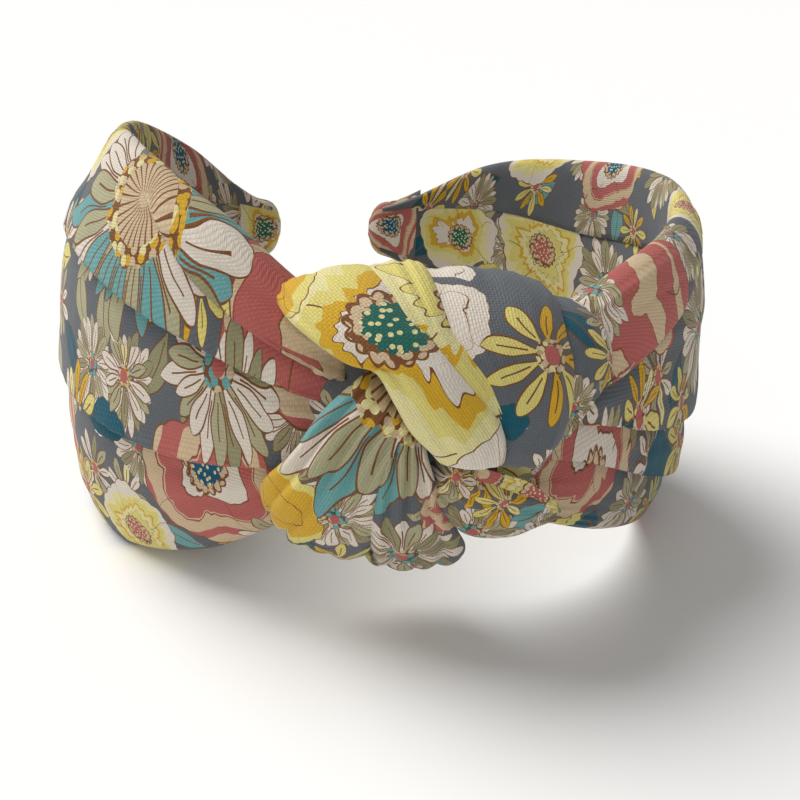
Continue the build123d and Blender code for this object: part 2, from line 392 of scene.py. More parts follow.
# Each turn is one or two straps between a left and a right edge, laid over the dome:
# lift above it, crown of the outer face, depth under the inner face, and how deeply it is creased.
TURNS = {
    "knot_front_wrap": [dict(
        left=behind((-29, 59.5), (-31, 66)) + front((-31, 67.5), (-26, 64), (-19, 60.5), (-14, 59.5),
            (-11, 55), (-8, 50), (-4, 46), (-1, 42)),
        right=behind((-9, 59.5), (-9, 68)) + front((-9, 70.5), (-7, 67.5), (-4, 65), (0, 60.5),
            (4, 56), (8, 51), (9, 46), (7.5, 41.5)),
        lift=2.4, crown=4.6, under=4.0, seed=21, crease=0.35,
    ), dict(
        left=behind((-13, 59.5), (-13, 68)) + front((-12, 70), (-10, 67.5), (-7, 64), (-3, 60),
            (2, 55), (6, 50), (7, 46)),
        right=behind((-2, 59.5), (-2, 69)) + front((-2, 71), (-0.5, 66.5), (2.2, 63), (5.5, 59),
            (8, 54), (9.5, 50), (9.5, 46)),
        lift=2.2, crown=3.4, under=3.0, seed=22, crease=0.3,
    )],
    "knot_side_wrap": [dict(
        left=behind((-6, 59.5), (-6, 69)) + front((-5, 71), (-4, 67), (-1, 63), (3, 58.5), (6, 52),
            (8, 45), (8, 40)),
        right=behind((19, 59.5), (20, 67)) + front((21, 69), (22, 65), (23, 60.5), (23, 56),
            (22.5, 51), (20, 45), (14, 40)),
        lift=0.4, crown=3.4, under=4.0, seed=31, crease=0.35,
    )],
    "knot_rear_wrap": [dict(
        left=behind((18, 59.5), (19, 67.5)) + front((20, 69.5), (21, 65.5), (22, 60.5), (22, 55),
            (21, 49), (19, 43)),
        right=behind((33, 58), (36, 64)) + front((37, 66), (37.5, 63), (35.5, 58.5), (31.5, 53.5),
            (27, 49), (23, 44)),
        lift=-0.8, crown=2.8, under=3.5, seed=41, crease=0.3,
    )],
    "knot_lower_fan": [dict(
        left=front((-15, 59.5), (-19, 56), (-24, 50), (-29, 40), (-33, 31), (-36, 23)) + behind(
            (-33, 19), (-28, 30)),
        right=front((-6, 53), (-8, 48), (-10, 43), (-11.5, 37), (-12, 29), (-12, 20)) + behind(
            (-12, 15), (-12, 28)),
        lift=-0.6, crown=2.6, under=3.5, seed=51, crease=0.45, gathers=5, gather_depth=2.0,
    )],
    "knot_lower_roll": [dict(
        left=front((-10, 53), (-12, 46), (-13.5, 38), (-14, 30), (-13, 22), (-11, 17)) + behind(
            (-11, 16), (-11, 28)),
        right=front((-5, 50), (-4.5, 45), (-2, 38), (1, 31), (4.5, 25.5), (7, 20)) + behind((6, 16),
            (5, 28)),
        lift=-0.8, crown=2.8, under=3.5, seed=61, crease=0.45, gathers=4, gather_depth=2.0,
    )],
    "knot_lower_tuck": [dict(
        left=front((-2, 44), (4, 41), (11, 38), (18, 34.5), (24, 30.5), (28, 27)),
        right=front((-4, 36), (1, 30), (6, 25), (13, 24), (20, 25.5), (27, 26)),
        lift=-1.4, crown=2.6, under=3.0, seed=71, crease=0.4, gathers=3, gather_depth=1.3,
    ), dict(
        left=front((4, 42.5), (10, 40.5), (16, 38), (21, 34), (26, 29.5)),
        right=front((4, 39.5), (10, 37.5), (15.5, 34.5), (20.5, 31), (25, 27.5)),
        lift=-0.2, crown=1.5, under=1.6, seed=72, crease=0.15,
    )],
}
STRAP_GRID = (130, 88)  # points along and around
DIVE = 6.0  # how far a strap's hidden end sinks into the knot
SLIM_WIDTH = 12.0  # a strap narrower than this is thinner in proportion
NEXT_STRAP = 100.0  # a turn's second strap is printed from this far along the cloth
UNDERSIDE = 60.0  # a strap's hidden face is printed from this far across the cloth


def dome_reach(offset, depth):
    """1 on the dome, less inside it: a squarish oval from the front, round in depth."""
    climb = np.where(offset[..., 2] > 0, DOME_TOP, DOME_RADII[2])
    face = np.abs(offset[..., 0] / DOME_RADII[0]) ** DOME_POWER
    face = face + np.abs(offset[..., 2] / climb) ** DOME_POWER
    return np.sqrt(face ** (2 / DOME_POWER) + (offset[..., 1] / depth) ** 2)


def dome_depth(offset):
    return np.where(offset[..., 1] > 0, DOME_BACK_DEPTH, DOME_RADII[1])


def dome_place(across, height, face):
    """The dome's point at a place across and a height, in front of the band or behind it."""
    offset = np.array([across - DOME_CENTRE[0], 0.0, height - DOME_CENTRE[2]])
    depth = DOME_RADII[1] if face == FRONT else DOME_BACK_DEPTH
    level = math.sqrt(max(0.0, 1 - float(dome_reach(offset, depth)) ** 2))
    return (across, DOME_CENTRE[1] + face * depth * level, height)


def onto_dome(points):
    """Slide points along their ray from the dome's centre until they lie on it."""
    offset = points - DOME_CENTRE
    reach = dome_reach(offset, dome_depth(offset))[..., None]
    return DOME_CENTRE + offset / np.maximum(reach, 1e-6)


def dome_normal(points):
    """Outward direction, leaning to the front so that the top of the knot stays level."""
    offset = points - DOME_CENTRE
    slope = offset / DOME_RADII ** 2
    slope[..., 2] *= 0.35
    return unit(slope)


def strap_sheet(turn, rows, columns):
    """A closed strap: its outer face is crowned and creased, its inner face is plain."""
    left = smooth_line([dome_place(*place) for place in turn["left"]], rows)
    right = smooth_line([dome_place(*place) for place in turn["right"]], rows)
    around = full_turn(columns)
    across = -np.cos(around)[None, :]
    along = np.linspace(0, 1, rows)[:, None]
    share = (across + 1) / 2

    base = left[:, None, :] * (1 - share[..., None]) + right[:, None, :] * share[..., None]
    base = onto_dome(base)
    normal = dome_normal(base)
    rise = np.abs(np.sin(around))[None, :] ** 0.8
    outer = (np.sin(around) >= 0)[None, :]

    width = np.linalg.norm(right - left, axis=1)[:, None]
    slim = np.minimum(1.0, width / SLIM_WIDTH)
    crown = turn["crown"] * slim * rise
    crease = soft_noise(across * 4 + along * 2, along * 3.5, turn["seed"]) * 1.6
    crease = crease + soft_noise(across * 9 + along * 3, along * 5, turn["seed"] + 5) * 0.8
    crown = crown + turn["crease"] * crease * rise
    if "gathers" in turn:
        drift = 1.2 * soft_noise(across * 2, along * 3, turn["seed"] + 9)
        phase = turn["gathers"] * math.pi * (across + 1) + drift
        ridge = np.abs(np.sin(phase / 2)) ** 0.7 - 0.6
        crown = crown + turn["gather_depth"] * ridge * rise * (1.1 - 0.55 * along)
    height = np.where(outer, crown, -turn["under"] * slim * rise)

    sunk = DIVE * (1 - smooth_step(0.0, 0.07, along)) * (turn["left"][0][2] == FRONT)
    sunk = sunk + DIVE * smooth_step(0.93, 1.0, along) * (turn["left"][-1][2] == FRONT)
    points = base + normal * (turn["lift"] + height - sunk)[..., None]

    middle = (left + right) / 2
    skew = np.sum(unit(np.gradient(middle, axis=0)) * unit(right - left), axis=1)[:, None]
    cloth_along = walked(middle) + across * width / 2 * skew
    cloth_across = across * width / 2 * np.sqrt(1 - skew ** 2) + np.where(outer, 0.0, UNDERSIDE)
    return points, np.stack([cloth_along, cloth_across], -1), True


def make_turn(name, straps):
    """One turn of the knot, of one or two straps."""
    sheets = []
    for index, strap in enumerate(straps):
        points, cloth, closed = strap_sheet(strap, *STRAP_GRID)
        sheets.append((points, cloth + np.array([NEXT_STRAP * index, 0.0]), closed))
    return grid_mesh(name, sheets)


def make_throat():
    """The gathered cloth inside the knot, which shows only as dark gaps between the turns."""
    climb, around = lattice(np.linspace(-0.97, 0.97, 40), full_turn(64))
    ring = np.sqrt(1 - climb ** 2)
    shape = np.stack([ring * np.cos(around), ring * np.sin(around), climb], -1)
    shape[..., 1] = np.where(shape[..., 1] > 0, 0.1, 1.0) * shape[..., 1]
    points = DOME_CENTRE + shape * (DOME_RADII - np.array([9.0, 5.0, 9.0]))
    cloth = np.stack([climb * 30, around * 15], -1)
    return grid_mesh("knot_throat_cloth", [(points, cloth, True)])


# ---- Lining and tips ----
LINING_CLOTH = 0.6
KNOT_BULGE = 2.0  # the lining covers the ends of the turns behind the knot


def make_lining():
    """The strip on the head side, which runs behind the knot from tip to tip."""
    rows, columns = 260, 48
    left, right = ARMS["left"], ARMS["right"]
    angle, across = lattice(np.linspace(-left["tip"], right["tip"], rows), np.linspace(-1, 1, columns))
    left_share = (-angle - left["throat"]) / (left["tip"] - left["throat"])
    right_share = (angle - right["throat"]) / (right["tip"] - right["throat"])
    share = np.where(angle < 0, left_share, right_share)
    half = core_width(share) / 2 + LINING_MARGIN + 1.0

    throat_turn = (angle + left["throat"]) / (left["throat"] + right["throat"])
    ends = [arm_mid(arm, np.zeros(1))[0] for arm in (left, right)]
    middle = np.where(angle < 0, arm_mid(left, share), arm_mid(right, share))
    middle = np.where(share < 0, ends[0] + (ends[1] - ends[0]) * throat_turn, middle)

    puckers = soft_noise(across * 5, angle / 7, 91) * (np.abs(across) ** 2) * 0.35
    soft = soft_noise(across * 2, angle / 16, 92) * 0.3
    sunk = 0.8 * np.abs(across) ** 6
    bulge = -KNOT_BULGE * np.exp(-(angle / 26) ** 4)
    points = round_the_head(angle, 0.1 + bulge + puckers + soft + sunk, middle + across * half)
    cloth = np.stack([walked(points[:, columns // 2]) + 0 * across, across * half], -1)
    piece = grid_mesh("inner_lining_cloth", [(points, cloth, False)])
    thicken(piece, LINING_CLOTH)
    return piece


TIP_WRAP_SHARE = 0.062  # share of an arm that the cloth folded over its tip covers
TIP_ROUND = 3.0  # degrees that it reaches past the arm's tip
TIP_WRAP_REACH = 9.0  # degrees from its open end to the arm's tip
TIP_EDGE_GAP, TIP_FACE_GAP = 0.6, 0.7  # it lies this far outside the sleeve


def make_tip_wrap(name, arm):
    """Cloth folded over the end of an arm: a flattened cap with a rounded end."""
    rows, columns = 36, 72
    along, around = lattice(np.linspace(0, 1, rows), full_turn(columns))
    share = 1 - TIP_WRAP_SHARE * (1 - along)
    half = between(arm["heights"], share) / 2 + TIP_EDGE_GAP
    depth = puff(share) / 2 + TIP_FACE_GAP
    close = np.sqrt(np.clip(1 - smooth_step(0.72, 1.0, along) ** 2, 0.02, 1))
    out = puff(share) / 2 + depth * close * np.cos(around) * (1 + 0.05 * np.sin(around * 5 + along * 4))
    up = half * close ** 0.6 * np.sign(np.sin(around)) * np.abs(np.sin(around)) ** 0.95
    reach = arm["tip"] + TIP_ROUND * smooth_step(0.6, 1.0, along) - TIP_WRAP_REACH * (1 - along)
    points = round_the_head(arm["side"] * reach, out, arm_mid(arm, share) + up)
    cloth = np.stack([along * 12, around * 6.5], -1)
    return grid_mesh(name, [(points, cloth, True)])


# ---- Shader arithmetic ----
# A mix node's inputs 4 and 5 are its vectors, 6 and 7 its colours; output 1 is a vector, 2 a colour.
SOCKET_KINDS = {"number": "NodeSocketFloat", "vector": "NodeSocketVector", "colour": "NodeSocketColor"}


def screen_colour(code):
    """A colour written as 0xRRGGBB, as the shader's linear values."""
    parts = [((code >> shift) & 255) / 255 for shift in (16, 8, 0)]
    return [part / 12.92 if part <= 0.04045 else ((part + 0.055) / 1.055) ** 2.4 for part in parts] + [1.0]


class Signal:
    """An output of a shader node that can be used in sums as if it were a number."""

    def __init__(self, tree, socket):
        self.tree, self.socket = tree, socket

    def apply(self, operation, *others):
        return calculate(self.tree, operation, self, *others)

    def clamped(self):
        return self.apply("MAXIMUM", 0.0).apply("MINIMUM", 1.0)

    def __rsub__(self, other):
        return calculate(self.tree, "SUBTRACT", other, self)


OPERATORS = {
    "__add__": "ADD", "__radd__": "ADD", "__sub__": "SUBTRACT", "__mul__": "MULTIPLY", "__rmul__": "MULTIPLY",
    "__truediv__": "DIVIDE", "__gt__": "GREATER_THAN", "__lt__": "LESS_THAN", "__or__": "MAXIMUM",
}
for method, operation in OPERATORS.items():
    setattr(Signal, method, lambda self, other, operation=operation: self.apply(operation, other))


def feed(socket, value):
    if isinstance(value, Signal):
        value.tree.links.new(value.socket, socket)
    else:
        socket.default_value = value


def add_node(tree, kind, values, **settings):
    """A new node with its settings, and its inputs given by name or number."""
    node = tree.nodes.new(kind)
    for name, value in settings.items():
        setattr(node, name, value)
    for name, value in values.items():
        feed(node.inputs[name], value)
    return node


def node_output(tree, kind, values, output=0, **settings):
    """One output, given by name or number, of a new node."""
    return Signal(tree, add_node(tree, kind, values, **settings).outputs[output])


def calculate(tree, operation, *values):
    return node_output(tree, "ShaderNodeMath", dict(enumerate(values)), operation=operation)


def blend(share, first, second):
    """Mix of two colours, each a signal or written as 0xRRGGBB."""
    first, second = (screen_colour(part) if isinstance(part, int) else part for part in (first, second))
    values = {0: share, 6: first, 7: second}
    return node_output(share.tree, "ShaderNodeMix", values, 2, data_type="RGBA")


def split(place):
    node = add_node(place.tree, "ShaderNodeSeparateXYZ", {0: place})
    return [Signal(place.tree, output) for output in node.outputs]


def join(x, y, z=0.0):
    return node_output(x.tree, "ShaderNodeCombineXYZ", {0: x, 1: y, 2: z})


def noise(place, scale, detail=1.0):
    """Smooth noise, about -0.5..0.5."""
    values = {"Vector": place, "Scale": scale, "Detail": detail}
    return node_output(place.tree, "ShaderNodeTexNoise", values) - 0.5


def cells(place, scale, randomness=1.0):
    """Distance from the middle of the nearest of many scattered cells, its colour and its middle."""
    values = {"Vector": place, "Scale": scale, "Randomness": randomness}
    node = add_node(place.tree, "ShaderNodeTexVoronoi", values, voronoi_dimensions="2D")
    return [Signal(place.tree, node.outputs[name]) for name in ("Distance", "Color", "Position")]


def shifted(place, offset, operation="ADD"):
    return node_output(place.tree, "ShaderNodeVectorMath", {0: place, 1: offset}, operation=operation)


def random_number(seed):
    return node_output(seed.tree, "ShaderNodeTexWhiteNoise", {"W": seed}, "Value", noise_dimensions="1D")


def banded(value, stops):
    """Colour by bands: stops are (start, colour) pairs."""
    node = add_node(value.tree, "ShaderNodeValToRGB", {0: value})
    ramp = node.color_ramp
    ramp.interpolation = "CONSTANT"
    for index, (start, colour) in enumerate(stops):
        stop = ramp.elements[index] if index < 2 else ramp.elements.new(start)
        stop.position, stop.color = start, screen_colour(colour)
    return Signal(value.tree, node.outputs[0])


def even_bands(value, colours):
    return banded(value, [(index / len(colours), colour) for index, colour in enumerate(colours)])


def choose(style, values):
    """The number for a style 0, 1, 2..., which a signal gives."""
    chosen = values[0]
    for index in range(1, len(values)):
        chosen = (style > index - 0.5) * (values[index] - values[index - 1]) + chosen
    return chosen


def choose_colour(style, colours):
    chosen = colours[0]
    for index in range(1, len(colours)):
        chosen = blend(style > index - 0.5, chosen, colours[index])
    return chosen


def new_material(name):
    """A material and its shader."""
    material = bpy.data.materials.new(name)
    material.use_nodes = True
    return material, material.node_tree.nodes["Principled BSDF"]


def emboss(shader, height, strength, distance):
    """Raise the surface by a bump map of the given height, its distance in metres."""
    values = {"Strength": strength, "Distance": distance, "Height": height}
    feed(shader.inputs["Normal"], node_output(height.tree, "ShaderNodeBump", values))


def new_group(name, inputs, outputs):
    """A node group: its tree, its inputs as signals, and a function that sets an output."""
    tree = bpy.data.node_groups.new(name, "ShaderNodeTree")
    for socket, kind in inputs.items():
        tree.interface.new_socket(socket, in_out="INPUT", socket_type=SOCKET_KINDS[kind])
    for socket, kind in outputs.items():
        tree.interface.new_socket(socket, in_out="OUTPUT", socket_type=SOCKET_KINDS[kind])
    entry, leave = tree.nodes.new("NodeGroupInput"), tree.nodes.new("NodeGroupOutput")
    given = [Signal(tree, entry.outputs[socket]) for socket in inputs]
    return tree, given, lambda **values: [feed(leave.inputs[key], values[key]) for key in values]


def use_group(tree, group, *values):
    node = tree.nodes.new("ShaderNodeGroup")
    node.node_tree = group
    for index, value in enumerate(values):
        feed(node.inputs[index], value)
    return [Signal(tree, output) for output in node.outputs]


# ---- Print colours ----
GROUND, GROUND_DARK = 0x666B70, 0x565A5E
PETROL, TEAL, SAGE, SAGE_DARK = 0x0E5566, 0x68A09F, 0xABA785, 0x928F6C
WHITE, CREAM, BUFF = 0xDCD2C4, 0xCDB593, 0xB79F7E
CORAL, CORAL_DARK = 0xB4605A, 0x96483F
MUSTARD, YELLOW, YELLOW_PALE = 0xD0A426, 0xD8CB76, 0xDED59A
OUTLINE, GREEN, BLUE = 0x7B4D28, 0x1F6457, 0x0E5677

# Flower styles, in order: great mixed daisy, white daisy, yellow star, small daisy
DAISY_PETALS = [19, 12, 10, 10]
DAISY_LINES = [0.011, 0.019, 0.022, 0.028]
DAISY_CENTRES = [0.36, 0.24, 0.22, 0.22]
DAISY_DISCS = [0.26, 0.10, 0.11, 0.13]
DAISY_BEADS = [17.0, 9.0, 13.0, 14.0]
DAISY_FULLNESS = [0.50, 0.48, 0.44, 0.49]  # half a petal's share of the ring at its widest
DAISY_BACK_ROWS = [1.0, 1.0, 0.0, 0.0]
DAISY_COLOURS = [
    [TEAL, SAGE, WHITE, TEAL, SAGE, SAGE_DARK, TEAL, WHITE, SAGE],
    [WHITE, SAGE, WHITE, SAGE_DARK, WHITE],
    [YELLOW, MUSTARD, YELLOW_PALE, YELLOW, MUSTARD],
    [WHITE, SAGE, WHITE, YELLOW_PALE, SAGE_DARK],
]
BEAD_COLOURS = [
    [MUSTARD, YELLOW_PALE, MUSTARD, CREAM],
    [TEAL, CREAM, TEAL, GREEN],
    [CREAM, YELLOW_PALE, CREAM, BUFF],
    [CREAM, MUSTARD, CREAM, CREAM],
]
DISC_COLOURS = [CREAM, CORAL, CORAL, CORAL]

# Ruffled flower styles, in order: coral poppy, yellow rose, pale rose, and four loose petals
# without a centre, which are blush, marigold, cloud and berry
RUFFLE_BANDS = [
    [(0.0, WHITE), (0.37, OUTLINE), (0.39, CORAL), (0.60, CREAM), (0.615, CORAL_DARK), (0.63, CREAM),
     (0.80, CORAL), (0.93, CREAM)],
    [(0.0, WHITE), (0.34, OUTLINE), (0.355, MUSTARD), (0.47, YELLOW), (0.62, YELLOW_PALE), (0.80, WHITE)],
    [(0.0, YELLOW), (0.34, OUTLINE), (0.355, YELLOW_PALE), (0.50, MUSTARD), (0.56, YELLOW),
     (0.70, YELLOW_PALE), (0.80, WHITE)],
    [(0.0, CREAM), (0.27, OUTLINE), (0.285, CORAL), (0.66, CORAL_DARK), (0.675, CREAM), (0.80, CORAL)],
    [(0.0, MUSTARD), (0.42, OUTLINE), (0.435, MUSTARD), (0.74, YELLOW)],
    [(0.0, WHITE), (0.50, OUTLINE), (0.515, WHITE)],
    [(0.0, PETROL)],
]
RUFFLE_STREAKS = [0.08, 0.22, 0.26, 0.04, 0.0, 0.0, 0.0]
RUFFLE_DISCS = [BLUE, GREEN, CORAL]
CENTRED_STYLES = len(RUFFLE_DISCS)


# ---- Flowers ----
def polar(place):
    """Turn 0..1 and distance of a place about the origin, and its style, carried as z."""
    x, y, style = split(place)
    reach = (x * x + y * y).apply("SQRT")
    turn = y.apply("ARCTAN2", x) / (2 * math.pi) + 0.5
    return turn, reach, style


GOLDEN_SHARE = 0.382  # keeps neighbouring petals apart in colour
PETAL_FOOT = 0.58  # a petal's width where it leaves the centre
RUFFLE_EDGE, RUFFLE_LINE = 0.90, 0.015  # where a ruffled flower ends, and its outline's width
CENTRE_EDGE, CENTRE_FILL, CENTRE_DOTS = 0.26, 0.24, 0.17  # rings of a ruffled flower's centre


def make_petal_ring():
    """A ring of petals: where they cover, where their drawn lines are, and a number per petal."""
    tree, given, give = new_group(
        "petal_ring",
        {name: "number" for name in ("turn", "reach", "petals", "offset", "seed", "base", "tip", "line",
                                     "fullness")},
        {"inside": "number", "drawn": "number", "pick": "number"},
    )
    turn, reach, petals, offset, seed, base, tip, line, fullness = given
    place = turn * petals + offset
    index = place.apply("FLOORED_MODULO", petals).apply("FLOOR")
    own = random_number(index * 7.31 + seed)
    pick = (index * GOLDEN_SHARE + seed + own * 0.3).apply("FRACT")
    length = tip * (own * 0.2 + 0.8)
    aside = (place.apply("FRACT") - 0.5).apply("ABSOLUTE")
    climb = ((reach - base * 0.7) / (length - base * 0.7)).clamped()
    rounded = (1.0 - climb.apply("POWER", 2.3)).apply("POWER", 0.6)
    foot = PETAL_FOOT + (1 - PETAL_FOOT) * (climb * 2.2).apply("MINIMUM", 1.0)
    profile = fullness * rounded * foot
    width = reach / petals * (2 * math.pi)
    gap = (profile - aside) * width
    rib = (aside * width < line * 0.45) * (climb > 0.22) * (climb < 0.74)
    give(inside=gap > 0.0, drawn=(gap < line) | rib, pick=pick)
    return tree


def make_daisy(petal_ring):
    """A flower of radius 1 about the origin, in four styles."""
    tree, (place,), give = new_group("daisy", {"place": "vector"}, {"colour": "colour", "cover": "number"})
    turn, reach, style = polar(place)
    turn = turn + noise(place, 1.7) * 0.045
    petals = choose(style, DAISY_PETALS)
    line = choose(style, DAISY_LINES)
    base = choose(style, DAISY_CENTRES)
    fullness = choose(style, DAISY_FULLNESS)
    back = use_group(tree, petal_ring, turn, reach, petals, 0.5, style * 3.7 + 11.0, base, 1.0, line,
                     fullness)
    front = use_group(tree, petal_ring, turn, reach, petals, 0.0, style * 5.3 + 2.0, base, 0.93, line,
                      fullness)
    back[0] = back[0] * choose(style, DAISY_BACK_ROWS)

    layers = []
    for inside, drawn, pick in (back, front):
        petal = choose_colour(style, [even_bands(pick, colours) for colours in DAISY_COLOURS])
        layers.append((inside, blend(drawn, petal, OUTLINE)))
    colour = blend(front[0], layers[0][1], layers[1][1])

    far, tint, _ = cells(place, choose(style, DAISY_BEADS))
    bead = choose_colour(style, [even_bands(split(tint)[0], colours) for colours in BEAD_COLOURS])
    bead = blend(far > 0.50, bead, OUTLINE)
    stamens = ((turn * 30.0).apply("FRACT") > 0.74) * (style < 0.5) * (reach > 0.06)
    disc = choose_colour(style, DISC_COLOURS)
    disc = blend(stamens, disc, OUTLINE)
    centre = blend(reach < choose(style, DAISY_DISCS), bead, disc)
    ragged = reach + noise(place, 9.0) * 0.12
    in_centre = ragged < base
    give(colour=blend(in_centre, colour, centre), cover=back[0] | front[0] | in_centre)
    return tree


def make_ruffle():
    """A rose or poppy of radius 1 about the origin: lobed rings, streaks and a dotted centre."""
    tree, (place,), give = new_group("ruffle", {"place": "vector"}, {"colour": "colour", "cover": "number"})
    turn, reach, style = polar(place)
    x, y, _ = split(place)
    own = join(x, y, style * 4.0)
    drift = noise(own, 1.15)
    fine = noise(own, 5.0)
    rays = noise(join(x / reach, y / reach, style), 6.0, 0.0)
    wave = (turn * (10 * math.pi) + 0.6).apply("SINE")
    slow = (turn * (6 * math.pi) + 2.0).apply("SINE")
    scallop = (turn * (22 * math.pi)).apply("SINE").apply("ABSOLUTE")

    edge = reach + wave * 0.05 + drift * 0.34 + scallop * -0.03 + 0.03
    ring = reach + slow * 0.08 + drift * 0.85 + fine * 0.10
    band = ring + rays * choose(style, RUFFLE_STREAKS) * (ring < 0.80)
    colour = choose_colour(style, [banded(band, bands) for bands in RUFFLE_BANDS])
    seam = ((turn * 5.0 + drift * 1.6).apply("FRACT") - 0.5).apply("ABSOLUTE") * reach < 0.004
    colour = blend(seam * (reach > 0.40) * (rays < 0.03), colour, OUTLINE)
    colour = blend(edge > RUFFLE_EDGE - RUFFLE_LINE, colour, OUTLINE)

    petticoat = reach + (turn * (18 * math.pi)).apply("SINE").apply("ABSOLUTE") * -0.035
    petticoat = petticoat + (style > CENTRED_STYLES - 0.5)
    far, _, _ = cells(place, 15.0)
    crown = blend(far > 0.52, CREAM, OUTLINE)
    disc = choose_colour(style, RUFFLE_DISCS)
    dots = blend(far < 0.24, disc, YELLOW_PALE)
    centre = blend(petticoat < CENTRE_DOTS, crown, dots)
    colour = blend(petticoat < CENTRE_EDGE, colour, OUTLINE)
    colour = blend(petticoat < CENTRE_FILL, colour, centre)
    give(colour=colour, cover=edge < RUFFLE_EDGE)
    return tree


# ---- Cloth ----
LEAF_CELL, SMALL_FLOWER_CELL = 15.0, 19.0  # spacing of what is scattered, millimetres
LEAF_LENGTH, LEAF_HALF_WIDTH = 13.0, 3.6
THREAD_PITCH = 0.5
FAR_AWAY = (9.0, 9.0, 0.0)  # outside every flower


def scattered(cloth, cell, seed):
    """Places of a motif repeated all over the cloth, each turned its own way."""
    moved = shifted(cloth, (seed * 13.0, seed * 7.0, 0.0))
    _, tint, middle = cells(moved, 1 / cell, 0.75)
    pick = split(tint)
    values = {"Vector": shifted(moved, middle, "SUBTRACT"), "Angle": pick[0] * (2 * math.pi)}
    return node_output(cloth.tree, "ShaderNodeVectorRotate", values, rotation_type="Z_AXIS"), pick[1]


def make_leaves():
    """Leaves scattered over the ground of the print."""
    tree, (cloth,), give = new_group("leaves", {"cloth": "vector"}, {"colour": "colour", "cover": "number"})
    place, pick = scattered(cloth, LEAF_CELL, 1)
    x, y, _ = split(place)
    climb = ((x + LEAF_LENGTH / 2) / LEAF_LENGTH).clamped()
    profile = (climb * math.pi).apply("SINE") * (LEAF_HALF_WIDTH - 1.4 * climb)
    aside = (y + x * x * 0.02).apply("ABSOLUTE")
    gap = profile - aside
    vein = (aside < 0.14) * (climb > 0.12) * (climb < 0.85)
    colour = even_bands(pick, [TEAL, SAGE, PETROL, YELLOW, PETROL, SAGE_DARK])
    colour = blend((gap < 0.30) | vein, colour, OUTLINE)
    give(colour=colour, cover=gap > 0.0)
    return tree


def make_print(daisy, ruffle, leaves):
    """The whole print at a place of the cloth, given the flowers set there one by one."""
    tree, (cloth, daisy_place, ruffle_place, scatter, pale), give = new_group(
        "floral_print",
        {"cloth": "vector", "daisy": "vector", "ruffle": "vector", "scatter": "number", "pale": "number"},
        {"colour": "colour"})
    tone = noise(cloth, 0.08) + 0.5
    colour = blend(tone, GROUND, GROUND_DARK)
    colour = blend(pale, colour, YELLOW_PALE)
    leaf = use_group(tree, leaves, cloth)
    colour = blend(leaf[1] * scatter, colour, leaf[0])
    place, pick = scattered(cloth, SMALL_FLOWER_CELL, 3)
    x, y, _ = split(place)
    size = SMALL_FLOWER_CELL * 0.47
    style = (pick * 3.0).apply("FLOOR") + 1.0
    small = use_group(tree, daisy, join(x / size, y / size, style))
    colour = blend(small[1] * scatter, colour, small[0])
    for group, spot in ((ruffle, ruffle_place), (daisy, daisy_place)):
        flower = use_group(tree, group, spot)
        colour = blend(flower[1], colour, flower[0])
    give(colour=colour)
    return tree


def hand_set(cloth, flowers):
    """The own coordinates of the flower that covers a place; later flowers lie on top.

    A flower is (along, across, radius, turn in degrees, style)."""
    tree = cloth.tree
    chosen = FAR_AWAY
    for along, across, radius, turn, style in flowers:
        values = {"Vector": cloth, "Location": (along, across, -style),
                  "Rotation": (0, 0, math.radians(turn)), "Scale": (radius, radius, 1)}
        own = node_output(tree, "ShaderNodeMapping", values, vector_type="TEXTURE")
        values = {0: own, 1: (0, 0, style)}
        inside = node_output(tree, "ShaderNodeVectorMath", values, "Value", operation="DISTANCE") < 1.0
        values = {0: inside, 4: chosen, 5: own}
        chosen = node_output(tree, "ShaderNodeMix", values, 1, data_type="VECTOR")
    return chosen


def weave(cloth):
    """The threads of the plain weave, the slubs in them, and the soft creases of the cloth; the threads and
    creases are heights, and their hollows are also painted darker as shade.
    """
    u, v, _ = split(cloth)
    warp = (u * (math.pi / THREAD_PITCH)).apply("SINE")
    weft = (v * (math.pi / THREAD_PITCH)).apply("SINE")
    threads = warp.apply("ABSOLUTE") * 0.35 + weft.apply("ABSOLUTE") * 0.65 + warp * weft * 0.25
    slubs = noise(join(u * 0.6, v * 6.0), 1.0)
    creases = noise(cloth, 0.16, 3.0)
    return threads, slubs, creases


def printed_cotton(name, floral, daisies=(), ruffles=(), scatter=1.0, pale=0.0, shift=(0.0, 0.0)):
    """Plain-weave cotton with the floral print, for one piece of cloth."""
    material, shader = new_material(name)
    tree = material.node_tree
    layer = node_output(tree, "ShaderNodeUVMap", {}, uv_map="cloth")
    cloth = shifted(layer, (*shift, 0.0))
    flowers = hand_set(layer, daisies), hand_set(layer, ruffles)
    colour, = use_group(tree, floral, cloth, *flowers, scatter, pale)
    threads, slubs, creases = weave(layer)
    # Lighter on the crowns of the threads and creases, darker in their hollows: painted shade of the weave
    # and the creases; the slubs are the yarn's own tone.
    shade = 0.84 + threads * 0.20 + slubs * 0.16 + creases * 0.08
    values = {0: 1.0, 6: colour, 7: join(shade, shade, shade)}
    shaded_print = node_output(tree, "ShaderNodeMix", values, 2, data_type="RGBA", blend_type="MULTIPLY")
    feed(shader.inputs["Base Color"], shaded_print)
    emboss(shader, threads * 0.22 + creases * 0.9, 0.6, 0.001)
    feed(shader.inputs["Roughness"], 0.86 - threads * 0.10)
    shader.inputs["Specular IOR Level"].default_value = 0.25
    shader.inputs["Sheen Weight"].default_value = 0.12
    shader.inputs["Sheen Roughness"].default_value = 0.5
    return material
